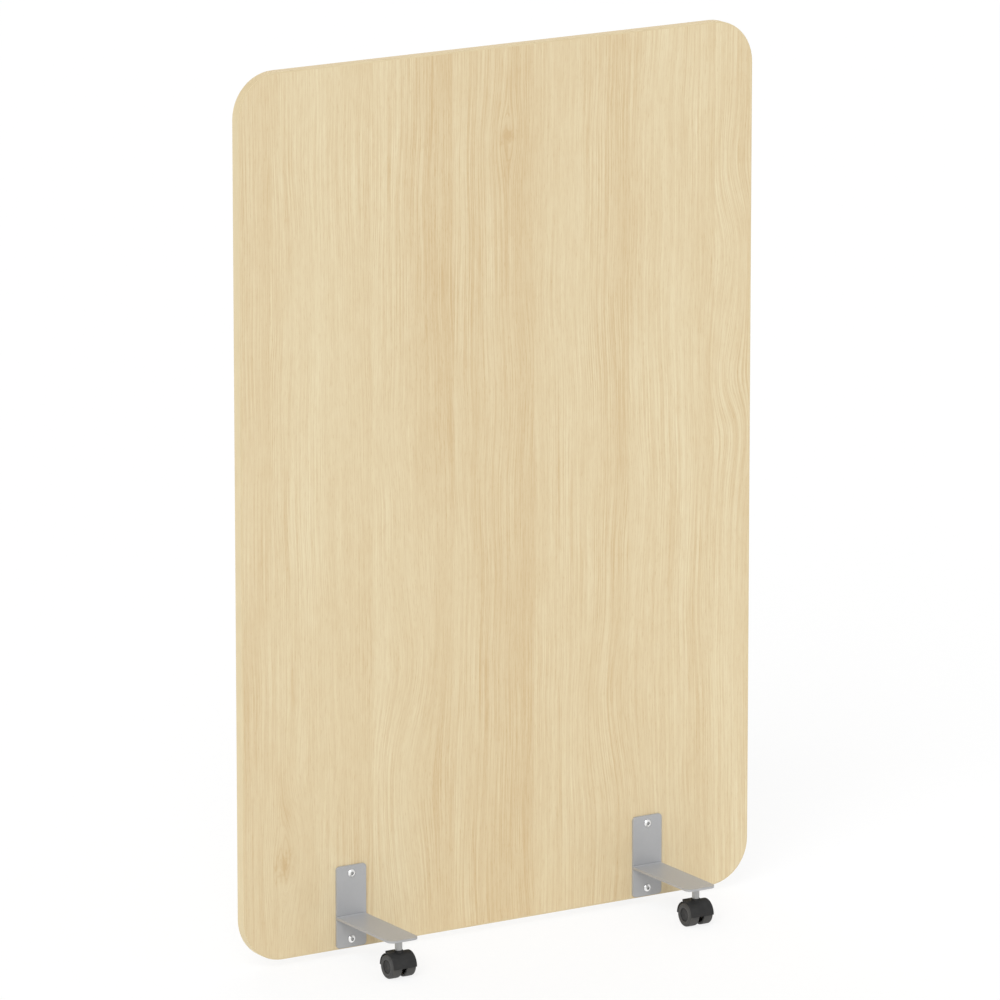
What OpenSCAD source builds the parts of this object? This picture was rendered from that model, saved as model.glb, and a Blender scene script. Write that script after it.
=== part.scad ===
// Rolling partition: a laminated board panel on four bracketed twin-wheel castors.
// Millimetres. +Z is up, X runs along the panel's width, -Y is the front.
// The origin lies on the floor, under the middle of the panel.

/* [Panel] */
// Width of the finished panel
panel_w = 800; // [600:10:1200]
// Height of the finished panel
panel_h = 1200; // [800:10:1800]
// Thickness of the panel
panel_t = 16; // [14:1:25]
// Radius of the panel's four corners
corner_r = 60; // [20:5:120]
// Thickness of the band glued round the board's edge
band_t = 2; // [1:0.5:3]
// Rounding of the band's two outer edges
band_edge_r = 0.5; // [0.4:0.1:1]
// Width of the butt seam where the band's two ends meet
band_seam = 0.2; // [0.1:0.1:0.5]
// Height of the panel's lower edge above the floor
ground_gap = 10; // [6:1:16]

/* [Brackets] */
// Distance between the left and the right brackets, centre to centre
bracket_pitch = 470; // [340:10:560]
// Width of the bracket, plate and arm alike
bracket_w = 46; // [36:1:60]
// Height of the plate's lower edge above the panel's lower edge
plate_rise = 2; // [0:0.5:6]
// Height of the upright plate
plate_h = 113; // [106:1:150]
// Thickness of the upright plate
plate_t = 3; // [2:0.5:4]
// Radius of the plate's corners
plate_corner_r = 5; // [2:0.5:9]
// Height of the arm's underside above the plate's lower edge
arm_rise = 40.5; // [39:0.5:60]
// Length of the arm, from the panel's face to the tip
arm_reach = 140; // [120:5:200]
// Thickness of the arm
arm_t = 3; // [3:0.5:6]
// Radius of the arm's two tip corners
arm_tip_r = 9; // [4:0.5:14]
// Leg of the welded fillets where the arm meets the plate
weld_leg = 1.5; // [1:0.5:4]

/* [Panel bolts] */
// Distance from each end of the plate to the nearer bolt
bolt_inset = 11; // [10:0.5:14]
// Diameter of the bolt's shank
bolt_d = 6; // [5:0.5:6]
// Diameter of the bolt's button head
bolt_head_d = 10.5; // [9:0.5:12]
// Height of the bolt's button head
bolt_head_h = 3; // [2.6:0.1:3.4]
// Width across the flats of the hexagon socket
bolt_socket_w = 4; // [3:0.5:4]
// Depth of the hexagon socket
bolt_socket_depth = 1.9; // [1:0.1:2]
// Diameter of the sleeve nut's barrel
sleeve_d = 8; // [7.5:0.5:9]
// Diameter of the sleeve nut's flat head
sleeve_head_d = 13; // [11:0.5:15]
// Height of the sleeve nut's flat head
sleeve_head_h = 2; // [1.8:0.1:3]
// Length of thread that stands in the sleeve nut
thread_grip = 9; // [6:0.5:11]
// Radial clearance of a bolt or a sleeve in its hole
hole_clear = 0.2; // [0.1:0.05:0.4]
// Radial clearance of the bolt in the sleeve nut
thread_clear = 0.03; // [0.01:0.01:0.1]

/* [Castor wheels] */
// Diameter of the wheels
wheel_d = 33; // [32:0.5:38]
// Width over both wheels
wheels_w = 36.6; // [34:0.2:40]
// Gap between the two wheels
wheel_gap = 7.6; // [7.2:0.1:9]
// Radius of the tread's outer shoulder
tread_outer_r = 2.2; // [1:0.1:3]
// Radius of the tread's inner shoulder
tread_inner_r = 1.2; // [0.5:0.1:1.5]
// Thickness of the wheel's rim
rim_t = 3.2; // [2.6:0.1:3.4]
// Thickness of the wheel's disc, cap recess included
disc_t = 5; // [4:0.1:6]
// Radius of the wheel's hub
hub_r = 4.6; // [4.2:0.1:4.8]
// Diameter of the hub cap
cap_d = 18.4; // [15:0.2:20]
// Thickness of the hub cap
cap_t = 1.2; // [0.8:0.1:1.4]
// Depth of the hub cap's outer face below the wheel's face
cap_sink = 0.8; // [0.4:0.1:1]
// Radial clearance of the hub cap in its recess
cap_clear = 0.05; // [0:0.05:0.2]
// Diameter of the axle
axle_d = 5; // [4:0.5:5]
// Radial running clearance of the wheel on the axle
axle_clear = 0.05; // [0.02:0.01:0.1]
// Depth of the snap groove near each end of the axle
snap_depth = 0.4; // [0.3:0.05:0.6]
// Width of the snap groove
snap_w = 1.6; // [1.2:0.1:2]

/* [Castor hood] */
// Distance from the stem's axis back to the axle
castor_trail = 0.5; // [0:0.5:2]
// Width of the hood's fender
hood_w = 36; // [32:0.2:36.6]
// Clearance of the fender over the treads
fender_clear = 0.5; // [0.5:0.1:1.4]
// Thickness of the fender
fender_t = 1.4; // [1.1:0.1:2]
// Drop of the fender's lips below the axle
lip_drop = 0.5; // [0:0.1:3]
// Diameter of the round land that the stem's shoulder turns over
land_d = 12; // [11.5:0.5:16]
// Height of the land above the fender's crest
land_rise = 2.5; // [0.2:0.1:3]
// Width of the tab at the back of the crest
tab_w = 20; // [12:1:26]
// Distance from the axle back to the tab's far edge
tab_reach = 18.8; // [16:0.1:19]
// Drop of the tab's top below the fender's crest
tab_drop = 2.2; // [1:0.1:4]
// Thickness of the tab
tab_t = 2; // [1.6:0.1:2.4]
// Radius of the tab's far corners
tab_corner_r = 2.5; // [1:0.5:5]
// Running clearance between the web and each wheel
web_clear = 0.4; // [0.2:0.05:0.6]
// Radius of the web round the axle
web_boss_r = 8; // [6:0.5:10]
// Outer radius of the collar round the stem's pivot
collar_r = 4.5; // [4:0.1:4.8]
// Height of the pocket that takes the retaining ring
pocket_h = 2.4; // [2:0.1:3]

/* [Castor stem] */
// Distance from the arm's tip back to the stem's axis
stem_inset = 16.5; // [12:0.5:24]
// Diameter of the stem
stem_d = 10; // [8:0.5:11]
// Diameter of the pivot that turns in the hood
pivot_d = 5; // [4:0.5:5]
// Radial running clearance of the pivot in the hood
pivot_clear = 0.05; // [0.02:0.01:0.1]
// Running gap between the stem's shoulder and the hood's land
shoulder_gap = 0.2; // [0.1:0.05:0.3]
// Diameter of the spigot that stands in the arm
spigot_d = 8; // [6:0.5:8]
// Depth of the arm's blind seat for the spigot
spigot_depth = 2; // [1.5:0.1:2.4]
// Outer diameter of the retaining ring
ring_d = 8; // [7:0.2:8.4]
// Thickness of the retaining ring
ring_t = 0.8; // [0.6:0.1:1]
// Opening angle of the retaining ring
ring_gap_deg = 70; // [40:5:100]

/* [Hidden] */
$fn = 96;
eps = 0.01;

// Colours, as photographed
wood_colour = "#dfcfa8";
band_colour = "#dccba2";
bracket_colour = "#abacae";
steel_colour = "#d8d8d6";
nylon_colour = "#3c3c3c";
cap_colour = "#2f2f2f";

// Panel levels
panel_bottom = ground_gap;
panel_mid_z = panel_bottom + panel_h / 2;
face_y = panel_t / 2;
plate_face_y = face_y + plate_t;

// Bracket levels
plate_bottom = panel_bottom + plate_rise;
arm_bottom = plate_bottom + arm_rise;
bolt_low_z = plate_bottom + bolt_inset;
bolt_high_z = plate_bottom + plate_h - bolt_inset;
stem_reach = arm_reach - stem_inset;
sleeve_hole_r = sleeve_d / 2 + hole_clear;
sleeve_length = plate_t + panel_t - 2;
bolt_length = plate_t + panel_t + plate_t - sleeve_length + thread_grip;
bolt_r = bolt_d / 2;

// Castor levels, from the floor up
wheel_r = wheel_d / 2;
axle_z = wheel_r;
axle_r = axle_d / 2;
wheel_in_x = wheel_gap / 2;
wheel_out_x = wheels_w / 2;
wheel_w = wheel_out_x - wheel_in_x;
recess_depth = cap_sink + cap_t;
hub_bore_r = axle_r + axle_clear;
axle_end_x = wheel_out_x - recess_depth - 1.2;
hub_bore_end_x = axle_end_x + 0.2;
snap_x = axle_end_x - 1.2 - snap_w;
rim_in_r = wheel_r - rim_t;
fender_in_r = wheel_r + fender_clear;
fender_out_r = fender_in_r + fender_t;
land_z = axle_z + fender_out_r + land_rise;
web_t = wheel_gap - 2 * web_clear;
pocket_z = axle_z + hub_r + 0.4;
collar_z = pocket_z + pocket_h;
collar_top_z = axle_z + sqrt(pow(rim_in_r - 0.4, 2) - pow(collar_r, 2));
ring_z = collar_z - 0.1 - ring_t;
pivot_r = pivot_d / 2;
pivot_end_z = pocket_z + 0.3;
groove_r = pivot_r - 0.5;

// Corner signs: [x, y], left and front are negative
FL = [-1, -1];
FR = [1, -1];
RL = [-1, 1];
RR = [1, 1];

// ---------- shared shapes ----------

// A rectangle with round corners, made of plain squares and circles
module rounded_rect(w, h, r) {
    square([w - 2 * r, h], center = true);
    square([w, h - 2 * r], center = true);
    for (sx = [-1, 1], sy = [-1, 1])
        translate([sx * (w / 2 - r), sy * (h / 2 - r)])
            circle(r);
}

// Stands a flat XY shape upright in the XZ plane, t thick and centred on Y = 0
module upright(t) {
    rotate([90, 0, 0])
        linear_extrude(t, center = true)
            children();
}

// A cylinder along X, from x0 to x1
module x_cylinder(x0, x1, r) {
    translate([x0, 0, 0])
        rotate([0, 90, 0])
            cylinder(h = x1 - x0, r = r);
}

// A ring section of (x, radius) turned about the X axis
module turned_about_x() {
    rotate([0, 90, 0])
        rotate_extrude()
            rotate([0, 0, 90])
                mirror([0, 1])
                    children();
}

// Moves a bracket, drawn at the front with its panel face on Y = 0, to its corner
module at_bracket(corner) {
    translate([corner[0] * bracket_pitch / 2, corner[1] * face_y, 0])
        rotate([0, 0, corner[1] > 0 ? 180 : 0])
            children();
}

// Moves a castor, drawn about its stem with its axle trailing towards +Y, to its corner
module at_castor(corner) {
    at_bracket(corner)
        translate([0, -stem_reach, 0])
            children();
}

// ---------- panel ----------

// The board's core, up to the inside of the edge band, drilled for the sleeve nuts
module panel_board() {
    color(wood_colour)
        difference() {
            translate([0, 0, panel_mid_z])
                upright(panel_t)
                    rounded_rect(panel_w - 2 * band_t, panel_h - 2 * band_t, corner_r - band_t);
            for (sx = [-1, 1], z = [bolt_low_z, bolt_high_z])
                translate([sx * bracket_pitch / 2, 0, z])
                    rotate([90, 0, 0])
                        cylinder(h = panel_t + 2, r = sleeve_hole_r, center = true);
        }
}

// Section of the band: x runs outwards from the board, y across the panel's thickness
module band_section() {
    r = min(band_edge_r, band_t);
    translate([0, -panel_t / 2])
        square([band_t - r, panel_t]);
    translate([0, r - panel_t / 2])
        square([band_t, panel_t - 2 * r]);
    for (sy = [-1, 1])
        translate([band_t - r, sy * (panel_t / 2 - r)])
            circle(r);
}

// The band: four straight stretches, four quarter turns and a butt seam underneath
module edge_band() {
    core_w = panel_w - 2 * band_t;
    core_h = panel_h - 2 * band_t;
    core_r = corner_r - band_t;
    color(band_colour)
        translate([0, 0, panel_mid_z])
            difference() {
                union() {
                    for (s = [-1, 1]) {
                        translate([s * core_w / 2, 0, 0])
                            linear_extrude(core_h - 2 * core_r, center = true)
                                mirror([s < 0 ? 1 : 0, 0])
                                    band_section();
                        translate([0, 0, s * core_h / 2])
                            rotate([0, -90, 0])
                                linear_extrude(core_w - 2 * core_r, center = true)
                                    mirror([s < 0 ? 1 : 0, 0])
                                        band_section();
                    }
                    for (turn = [0 : 3])
                        translate([
                            (turn == 0 || turn == 3 ? 1 : -1) * (core_w / 2 - core_r),
                            0,
                            (turn < 2 ? 1 : -1) * (core_h / 2 - core_r)
                        ])
                            rotate([90, 0, 0])
                                rotate_extrude(start = turn * 90, angle = 90)
                                    translate([core_r, 0])
                                        band_section();
                }
                translate([0, 0, -panel_h / 2])
                    cube([band_seam, panel_t + 2, 3 * band_t], center = true);
            }
}

// ---------- brackets ----------

// Upright plate: the front ones clear the bolt's shank, the rear ones the sleeve
module plate(corner) {
    hole_r = corner[1] < 0 ? bolt_r + hole_clear : sleeve_hole_r;
    color(bracket_colour)
        at_bracket(corner)
            translate([0, -plate_t / 2, 0])
                difference() {
                    translate([0, 0, plate_bottom + plate_h / 2])
                        upright(plate_t)
                            rounded_rect(bracket_w, plate_h, plate_corner_r);
                    for (z = [bolt_low_z, bolt_high_z])
                        translate([0, 0, z])
                            rotate([90, 0, 0])
                                cylinder(h = plate_t + 2, r = hole_r, center = true);
                }
}

// Outline of the arm from above: square at the plate, round corners at the tip
module arm_outline() {
    length = arm_reach - plate_t;
    translate([-bracket_w / 2, arm_tip_r - length])
        square([bracket_w, length - arm_tip_r]);
    translate([arm_tip_r - bracket_w / 2, -length])
        square([bracket_w - 2 * arm_tip_r, length]);
    for (s = [-1, 1])
        translate([s * (bracket_w / 2 - arm_tip_r), arm_tip_r - length])
            circle(arm_tip_r);
}

// One hollow weld fillet along the arm's root, with its corner on the X axis
module weld_fillet() {
    rotate([0, 90, 0])
        linear_extrude(bracket_w, center = true)
            difference() {
                translate([-weld_leg, -weld_leg])
                    square(weld_leg);
                translate([-weld_leg, -weld_leg])
                    circle(weld_leg);
            }
}

// Level arm, welded to the plate above and below, with the stem's blind seat beneath
module arm(corner) {
    color(bracket_colour)
        at_bracket(corner)
            difference() {
                translate([0, -plate_t, arm_bottom]) {
                    linear_extrude(arm_t)
                        arm_outline();
                    translate([0, 0, arm_t])
                        weld_fillet();
                    mirror([0, 0, 1])
                        weld_fillet();
                }
                translate([0, -stem_reach, arm_bottom - 1])
                    cylinder(h = spigot_depth + 1, d = spigot_d);
            }
}

// ---------- panel bolts ----------

// Button head: a low dome over a short upright rim, its seat on z = 0
module button_head() {
    head_r = bolt_head_d / 2;
    rim_h = 0.8;
    dome_h = bolt_head_h - rim_h;
    dome_r = (pow(head_r, 2) + pow(dome_h, 2)) / (2 * dome_h);
    rotate_extrude()
        intersection() {
            square([head_r, bolt_head_h]);
            translate([0, bolt_head_h - dome_r])
                circle(dome_r);
        }
}

// Through bolt with its head against the front plate
module panel_bolt(side, z) {
    color(steel_colour)
        translate([side * bracket_pitch / 2, -plate_face_y, z])
            rotate([90, 0, 0])
                difference() {
                    union() {
                        button_head();
                        translate([0, 0, -bolt_length])
                            cylinder(h = bolt_length + eps, r = bolt_r);
                    }
                    translate([0, 0, bolt_head_h - bolt_socket_depth])
                        rotate([0, 0, 30])
                            cylinder(h = bolt_socket_depth + 1, r = bolt_socket_w / sqrt(3), $fn = 6);
                }
}

// Sleeve nut with its head against the rear plate and its barrel through the panel
module sleeve_nut(side, z) {
    slot_w = 1.6;
    slot_depth = 1.1;
    color(steel_colour)
        translate([side * bracket_pitch / 2, plate_face_y, z])
            rotate([-90, 0, 0])
                difference() {
                    union() {
                        cylinder(h = sleeve_head_h, d = sleeve_head_d);
                        translate([0, 0, -sleeve_length])
                            cylinder(h = sleeve_length + eps, d = sleeve_d);
                    }
                    translate([0, 0, -sleeve_length - 1])
                        cylinder(h = sleeve_length + 1, r = bolt_r + thread_clear);
                    translate([0, 0, sleeve_head_h - slot_depth / 2 + 0.5])
                        cube([slot_w, sleeve_head_d + 2, slot_depth + 1], center = true);
                }
}

// ---------- castor: stem and retaining ring, fixed to the arm ----------

// Stem: spigot in the arm, plain shank, then a thinner grooved pivot in the hood
module stem(corner) {
    shoulder_z = land_z + shoulder_gap;
    color(steel_colour)
        at_castor(corner)
            difference() {
                union() {
                    translate([0, 0, pivot_end_z])
                        cylinder(h = shoulder_z - pivot_end_z + eps, r = pivot_r);
                    translate([0, 0, shoulder_z])
                        cylinder(h = arm_bottom - shoulder_z, d = stem_d);
                    translate([0, 0, arm_bottom - eps])
                        cylinder(h = spigot_depth + eps, d = spigot_d);
                }
                translate([0, 0, ring_z])
                    difference() {
                        cylinder(h = ring_t, r = pivot_r + 1);
                        translate([0, 0, -1])
                            cylinder(h = ring_t + 2, r = groove_r);
                    }
            }
}

// Open retaining ring, snapped into the pivot's groove under the collar
module retaining_ring(corner) {
    color(steel_colour)
        at_castor(corner)
            translate([0, 0, ring_z + 0.05])
                rotate([0, 0, 90 + ring_gap_deg / 2])
                    rotate_extrude(angle = 360 - ring_gap_deg)
                        translate([groove_r + 0.05, 0])
                            square([ring_d / 2 - groove_r - 0.05, ring_t - 0.1]);
}

// ---------- castor: hood and axle, which swivel ----------

// Section of the fender, with its four edges rounded
module fender_section() {
    r = fender_t * 0.4;
    translate([0, (fender_in_r + fender_out_r) / 2])
        rounded_rect(hood_w, fender_t, r);
}

// Fender: half a tube about the axle, its lips a little below it
module fender() {
    difference() {
        turned_about_x()
            fender_section();
        translate([0, 0, -lip_drop - fender_out_r])
            cube([hood_w + 2, 2 * fender_out_r + 2, 2 * fender_out_r], center = true);
    }
}

// Land: the round flat that the stem's shoulder turns over, rooted as deep as its radius
module crest_land() {
    root = land_d / 2;
    translate([0, -castor_trail, fender_out_r - root])
        cylinder(h = root + land_rise, d = land_d);
}

// Tab: a level tongue that stands out at the back, a little below the crest
module crest_tab() {
    r = tab_corner_r;
    translate([0, 0, fender_out_r - tab_drop - tab_t])
        linear_extrude(tab_t) {
            translate([-tab_w / 2, 0])
                square([tab_w, tab_reach - r]);
            translate([r - tab_w / 2, 0])
                square([tab_w - 2 * r, tab_reach]);
            for (s = [-1, 1])
                translate([s * (tab_w / 2 - r), tab_reach - r])
                    circle(r);
        }
}

// Crest: land and tab, trimmed so that they start inside the fender's wall
module crest() {
    difference() {
        union() {
            crest_land();
            crest_tab();
        }
        x_cylinder(-hood_w / 2, hood_w / 2, fender_in_r + fender_t / 2);
    }
}

// Web between the wheels: half a disc up to the fender, and a boss round the axle
module web() {
    difference() {
        x_cylinder(-web_t / 2, web_t / 2, fender_in_r + fender_t / 2);
        translate([0, 0, -fender_out_r - 2])
            cube([web_t + 2, 2 * fender_out_r + 2, 2 * fender_out_r + 4], center = true);
    }
    x_cylinder(-web_t / 2, web_t / 2, web_boss_r);
}

// Hood: fender, land, tab and web in one moulding, bored for the stem's pivot and the axle
module hood(corner) {
    color(nylon_colour)
        at_castor(corner)
            difference() {
                union() {
                    translate([0, castor_trail, axle_z]) {
                        fender();
                        crest();
                        web();
                    }
                    translate([0, 0, collar_z])
                        cylinder(h = collar_top_z - collar_z, r = collar_r);
                }
                translate([0, 0, pocket_z])
                    cylinder(h = pocket_h, r = collar_r + 0.5);
                translate([0, 0, pocket_z])
                    cylinder(h = land_z - pocket_z + 1, r = pivot_r + pivot_clear);
                translate([0, castor_trail, axle_z])
                    x_cylinder(-web_t, web_t, axle_r);
            }
}

// Axle, pressed into the web, with a snap groove near each end
module axle(corner) {
    color(steel_colour)
        at_castor(corner)
            translate([0, castor_trail, axle_z])
                difference() {
                    x_cylinder(-axle_end_x, axle_end_x, axle_r);
                    for (s = [-1, 1])
                        mirror([s < 0 ? 1 : 0, 0, 0])
                            turned_about_x()
                                translate([snap_x, axle_r - snap_depth])
                                    square([snap_w, snap_depth + 1]);
                }
}

// ---------- castor: wheels, which spin on the axle ----------

// Places one wheel; outer is the side away from the panel's middle
module at_wheel(corner, outer) {
    turned = corner[1] > 0 ? -1 : 1;
    side = corner[0] * turned * (outer ? 1 : -1);
    at_castor(corner)
        translate([0, castor_trail, axle_z])
            mirror([side < 0 ? 1 : 0, 0, 0])
                children();
}

// Section of the tyre's block, shoulders rounded
module wheel_block() {
    intersection() {
        translate([wheel_in_x, 0])
            square([wheel_w, wheel_r]);
        union() {
            translate([wheel_in_x, 0])
                square([wheel_w, wheel_r - tread_outer_r]);
            translate([wheel_in_x + tread_inner_r, 0])
                square([wheel_w - tread_inner_r - tread_outer_r, wheel_r]);
            translate([wheel_in_x, 0])
                square([wheel_w - tread_outer_r, wheel_r - tread_inner_r]);
            translate([wheel_in_x + tread_inner_r, wheel_r - tread_inner_r])
                circle(tread_inner_r);
            translate([wheel_out_x - tread_outer_r, wheel_r - tread_outer_r])
                circle(tread_outer_r);
        }
    }
}

// Wheel: rim, disc and hub, hollow towards the web, recessed outside for its cap
module wheel(corner, outer) {
    bead_clear = 0.1;
    color(nylon_colour)
        at_wheel(corner, outer)
            turned_about_x()
                difference() {
                    wheel_block();
                    translate([wheel_in_x - 1, hub_r])
                        square([wheel_w - disc_t + 1, rim_in_r - hub_r]);
                    translate([wheel_out_x - recess_depth, -1])
                        square([recess_depth + 1, cap_d / 2 + cap_clear + 1]);
                    difference() {
                        translate([wheel_in_x - 1, -1])
                            square([hub_bore_end_x - wheel_in_x + 1, hub_bore_r + 1]);
                        translate([snap_x + bead_clear, hub_bore_r - snap_depth])
                            square([snap_w - 2 * bead_clear, snap_depth + 1]);
                    }
                }
}

// Hub cap: a thin disc with a chamfered edge, pressed into the wheel's recess
module hub_cap(corner, outer) {
    chamfer = 0.3;
    x0 = wheel_out_x - recess_depth;
    x1 = wheel_out_x - cap_sink;
    cap_r = cap_d / 2;
    color(cap_colour)
        at_wheel(corner, outer)
            turned_about_x()
                polygon([[x0, 0], [x1, 0], [x1, cap_r - chamfer], [x1 - chamfer, cap_r], [x0, cap_r]]);
}

// ---------- the assembly ----------

panel_board();
edge_band();

plate(FL);  // front_left_plate
arm(FL);  // front_left_arm
plate(FR);  // front_right_plate
arm(FR);  // front_right_arm
plate(RL);  // rear_left_plate
arm(RL);  // rear_left_arm
plate(RR);  // rear_right_plate
arm(RR);  // rear_right_arm

panel_bolt(-1, bolt_low_z);  // left_lower_bolt
panel_bolt(-1, bolt_high_z);  // left_upper_bolt
panel_bolt(1, bolt_low_z);  // right_lower_bolt
panel_bolt(1, bolt_high_z);  // right_upper_bolt
sleeve_nut(-1, bolt_low_z);  // left_lower_sleeve_nut
sleeve_nut(-1, bolt_high_z);  // left_upper_sleeve_nut
sleeve_nut(1, bolt_low_z);  // right_lower_sleeve_nut
sleeve_nut(1, bolt_high_z);  // right_upper_sleeve_nut

stem(FL);  // front_left_stem
retaining_ring(FL);  // front_left_ring
hood(FL);  // front_left_hood
axle(FL);  // front_left_axle
wheel(FL, false);  // front_left_inner_wheel
wheel(FL, true);  // front_left_outer_wheel
hub_cap(FL, false);  // front_left_inner_cap
hub_cap(FL, true);  // front_left_outer_cap

stem(FR);  // front_right_stem
retaining_ring(FR);  // front_right_ring
hood(FR);  // front_right_hood
axle(FR);  // front_right_axle
wheel(FR, false);  // front_right_inner_wheel
wheel(FR, true);  // front_right_outer_wheel
hub_cap(FR, false);  // front_right_inner_cap
hub_cap(FR, true);  // front_right_outer_cap

stem(RL);  // rear_left_stem
retaining_ring(RL);  // rear_left_ring
hood(RL);  // rear_left_hood
axle(RL);  // rear_left_axle
wheel(RL, false);  // rear_left_inner_wheel
wheel(RL, true);  // rear_left_outer_wheel
hub_cap(RL, false);  // rear_left_inner_cap
hub_cap(RL, true);  // rear_left_outer_cap

stem(RR);  // rear_right_stem
retaining_ring(RR);  // rear_right_ring
hood(RR);  // rear_right_hood
axle(RR);  // rear_right_axle
wheel(RR, false);  // rear_right_inner_wheel
wheel(RR, true);  // rear_right_outer_wheel
hub_cap(RR, false);  // rear_right_inner_cap
hub_cap(RR, true);  // rear_right_outer_cap
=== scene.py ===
"""Rolling partition: a laminated panel on four bracketed twin-wheel castors.

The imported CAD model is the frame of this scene. The panel, its edge band, the
brackets, stems and hoods keep their CAD solids and get finishes. The wheels,
hub caps and panel bolts are modelled again here, with the finer forms that
mouldings and turned parts have. Everything is in metres: +Z is up, -Y is the
front, and the origin lies on the floor under the middle of the panel.
"""
import logging
import math
from dataclasses import dataclass
from enum import Enum
from typing import Any, Iterable, Mapping, Sequence, Union

import bmesh
import bpy
import numpy as np
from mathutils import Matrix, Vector


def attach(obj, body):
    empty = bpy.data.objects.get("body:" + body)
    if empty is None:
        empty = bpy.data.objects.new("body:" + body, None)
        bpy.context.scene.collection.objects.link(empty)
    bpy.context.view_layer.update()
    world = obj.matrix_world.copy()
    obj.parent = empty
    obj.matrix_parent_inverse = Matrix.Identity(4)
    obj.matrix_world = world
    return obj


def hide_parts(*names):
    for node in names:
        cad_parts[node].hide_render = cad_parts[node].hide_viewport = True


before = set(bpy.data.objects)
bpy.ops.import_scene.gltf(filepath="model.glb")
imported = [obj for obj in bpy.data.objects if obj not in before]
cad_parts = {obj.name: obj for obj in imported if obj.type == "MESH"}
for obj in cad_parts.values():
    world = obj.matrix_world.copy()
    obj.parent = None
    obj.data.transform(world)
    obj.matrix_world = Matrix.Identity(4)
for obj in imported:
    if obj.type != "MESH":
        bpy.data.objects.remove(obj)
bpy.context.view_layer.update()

LOG = logging.getLogger("partition")
MM = 0.001

# Sizes that several pieces and finishes share, the same as in the CAD model.
PANEL_W = 800 * MM
PANEL_T = 16 * MM
PANEL_TOP_Z = 1210 * MM
PANEL_CORNER_R = 60 * MM
BRACKET_X = 235 * MM
AXLE_Y = 131 * MM
AXLE_Z = 16.5 * MM
BOLT_LOW_Z = 23 * MM
BOLT_RISE = 91 * MM

# Painted light inside the castors: a lighter grey that lifts the dark, shaded gap
# between the wheels. Grey dust inside the castors: a guess that brings the dark
# gap between the wheels nearer to the photograph's tone.
GAP_PAINTED_LIGHT = "6a6966"

Colour = tuple[float, float, float, float]


def screen(code: str) -> Colour:
    """Turns a colour as it is seen on a screen into the linear one that Blender mixes.

    Each channel c becomes c / 12.92 below 0.04045, and ((c + 0.055) / 1.055) ^ 2.4 above.

    Args:
        code: Six hexadecimal digits, such as "dfcfa8".

    Returns:
        The linear red, green, blue and an alpha of 1.
    """
    channels = [int(code[i : i + 2], 16) / 255 for i in (0, 2, 4)]
    linear = [c / 12.92 if c <= 0.04045 else ((c + 0.055) / 1.055) ** 2.4 for c in channels]
    return (linear[0], linear[1], linear[2], 1.0)


# ---------- shader expressions ----------


class Wire:
    """One shader socket, on which Python's operators add Math nodes."""

    def __init__(self, graph: "Graph", socket: bpy.types.NodeSocket) -> None:
        """Keeps the socket and the graph that it belongs to."""
        self.graph = graph
        self.socket = socket

    def _math(self, operation: str, *terms: "Value") -> "Wire":
        """Adds one Math node with the given terms."""
        return self.graph.math(operation, *terms)

    def __add__(self, other: "Value") -> "Wire":
        """Sum."""
        return self._math("ADD", self, other)

    def __radd__(self, other: "Value") -> "Wire":
        """Sum, with the number on the left."""
        return self._math("ADD", other, self)

    def __sub__(self, other: "Value") -> "Wire":
        """Difference."""
        return self._math("SUBTRACT", self, other)

    def __rsub__(self, other: "Value") -> "Wire":
        """Difference, with the number on the left."""
        return self._math("SUBTRACT", other, self)

    def __mul__(self, other: "Value") -> "Wire":
        """Product."""
        return self._math("MULTIPLY", self, other)

    def __rmul__(self, other: "Value") -> "Wire":
        """Product, with the number on the left."""
        return self._math("MULTIPLY", other, self)

    def __truediv__(self, other: "Value") -> "Wire":
        """Quotient."""
        return self._math("DIVIDE", self, other)

    def __rtruediv__(self, other: "Value") -> "Wire":
        """Quotient, with the number on the left."""
        return self._math("DIVIDE", other, self)

    def __neg__(self) -> "Wire":
        """Opposite."""
        return self._math("MULTIPLY", self, -1.0)

    def above(self, edge: float) -> "Wire":
        """1 where the value is greater than the edge, otherwise 0."""
        return self._math("GREATER_THAN", self, edge)

    def size(self) -> "Wire":
        """Value without its sign."""
        return self._math("ABSOLUTE", self)


Value = Union[Wire, float]


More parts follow.
